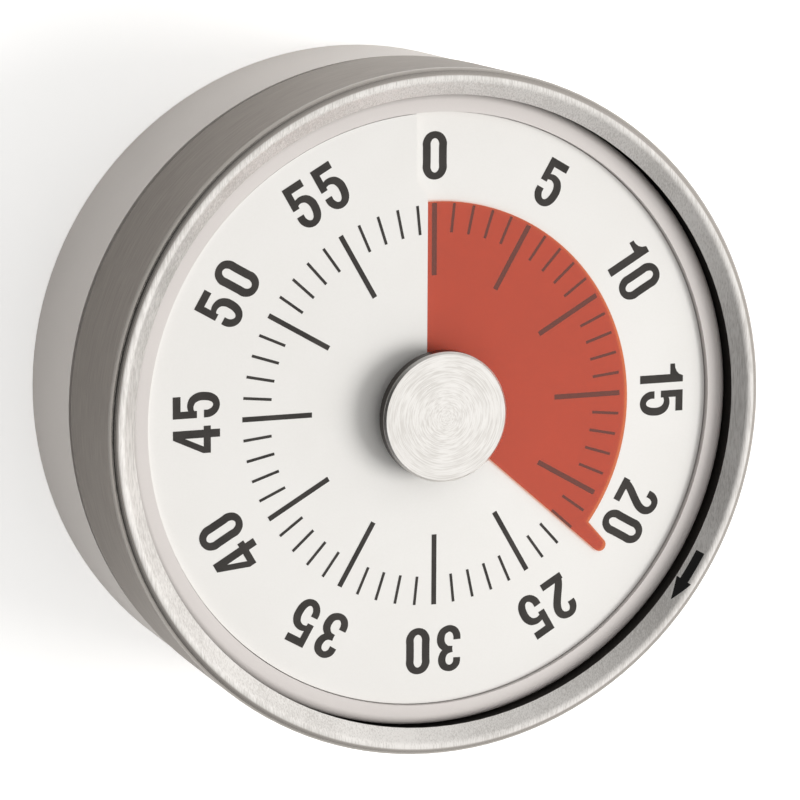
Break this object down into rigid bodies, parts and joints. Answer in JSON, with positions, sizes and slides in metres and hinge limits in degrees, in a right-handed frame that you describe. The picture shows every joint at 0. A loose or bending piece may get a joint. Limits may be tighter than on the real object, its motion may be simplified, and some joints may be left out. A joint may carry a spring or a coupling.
{
  "type": "kitchen timer",
  "caption": "Round sixty-minute kitchen timer with a brushed steel turning bezel, a white dial with a winding red disc, a steel centre knob and a magnetic flat back.",
  "frame": {"origin": "centre of the flat back face, where the bezel's axis meets it", "axes": "+Z out of the dial along the bezel's axis, +Y towards the 0 mark, +X towards the 15 mark"},
  "size_m": [0.078, 0.078, 0.033],
  "materials": {
    "bezel_steel": "brushed stainless steel",
    "knob_steel": "circular brushed stainless steel",
    "drum_plastic": "satin silver-grey paint on moulded plastic",
    "cover_plastic": "fine-textured moulded plastic",
    "magnet_plating": "nickel plated",
    "screw_steel": "zinc plated",
    "plate_brass": "satin brass",
    "wheel_brass": "stamped brass",
    "arbor_steel": "turned steel",
    "spring_steel": "blued spring steel",
    "bell_steel": "pressed steel",
    "dial_print": "printed satin white",
    "rim_plastic": "warm white satin plastic",
    "carrier_plastic": "black moulded plastic",
    "red_film": "translucent red film"
  },
  "bodies": {
    "case": {"rear_drum": "drum_plastic", "back_cover": "cover_plastic", "magnet": "magnet_plating", "cover_screws": "screw_steel", "movement_screws": "screw_steel", "lower_plate": "plate_brass", "upper_plate": "plate_brass", "plate_pillars": "plate_brass", "plate_nuts": "screw_steel", "center_post": "arbor_steel", "bell": "bell_steel", "bell_screw": "screw_steel", "mainspring": "spring_steel", "spring_stud": "arbor_steel", "hammer_spring": "spring_steel", "dial_collar": "dial_print", "dial_plate": "dial_print", "dial_rim": "rim_plastic", "knob": "knob_steel"},
    "bezel": {"bezel_ring": "bezel_steel", "bezel_carrier": "carrier_plastic", "main_arbor": "arbor_steel", "main_wheel": "wheel_brass", "ratchet_wheel": "arbor_steel", "click_pawl": "arbor_steel", "strike_cam": "wheel_brass", "arbor_clip": "arbor_steel", "drive_pin": "arbor_steel"},
    "disc": {"time_disc": "red_film", "disc_arm": "carrier_plastic", "disc_hub": "carrier_plastic"},
    "second": {"second_arbor": "arbor_steel", "second_wheel": "wheel_brass"},
    "third": {"third_arbor": "arbor_steel", "third_wheel": "wheel_brass"},
    "escape": {"escape_arbor": "arbor_steel", "escape_wheel": "wheel_brass"},
    "anchor": {"anchor_arbor": "arbor_steel", "pallet_anchor": "arbor_steel"},
    "balance": {"balance_staff": "arbor_steel", "balance_wheel": "wheel_brass", "impulse_roller": "arbor_steel"},
    "hammer": {"hammer_arbor": "arbor_steel", "hammer_lever": "arbor_steel", "bell_hammer": "wheel_brass"}
  },
  "joints": [
    {"name": "bezel_turn", "type": "hinge", "parent": "case", "child": "bezel", "pos_m": [0, 0, 0.02], "axis": [0, 0, 1], "range_deg": [-228, 132]},
    {"name": "disc_rise", "type": "slide", "parent": "bezel", "child": "disc", "axis": [0, 0, 1], "range_m": [-0.00033, 0.00057]},
    {"name": "second_spin", "type": "hinge", "parent": "case", "child": "second", "pos_m": [-0.01178, 0.0068, 0.0155], "axis": [0, 0, 1], "continuous": true},
    {"name": "third_spin", "type": "hinge", "parent": "case", "child": "third", "pos_m": [-0.01669, -0.00327, 0.0155], "axis": [0, 0, 1], "continuous": true},
    {"name": "escape_spin", "type": "hinge", "parent": "case", "child": "escape", "pos_m": [-0.01409, -0.01126, 0.0155], "axis": [0, 0, 1], "continuous": true},
    {"name": "anchor_rock", "type": "hinge", "parent": "case", "child": "anchor", "pos_m": [-0.00949, -0.0157, 0.0155], "axis": [0, 0, 1], "range_deg": [-4, 4]},
    {"name": "balance_swing", "type": "hinge", "parent": "case", "child": "balance", "pos_m": [-0.00315, -0.01716, 0.0155], "axis": [0, 0, 1], "range_deg": [-16, 16]},
    {"name": "hammer_swing", "type": "hinge", "parent": "case", "child": "hammer", "pos_m": [0.01334, -0.0077, 0.0155], "axis": [0, 0, 1], "range_deg": [-10, 2], "stiffness_Nm_per_rad": 0.0004}
  ],
  "couplings": [
    {"joint": "disc_rise", "follows": "bezel_turn", "m_per_rad": -0.00014324},
    {"joint": "second_spin", "follows": "bezel_turn", "ratio": -7.5},
    {"joint": "third_spin", "follows": "bezel_turn", "ratio": 52.5},
    {"joint": "escape_spin", "follows": "bezel_turn", "ratio": -315},
    {"joint": "balance_swing", "follows": "anchor_rock", "ratio": -4}
  ]
}
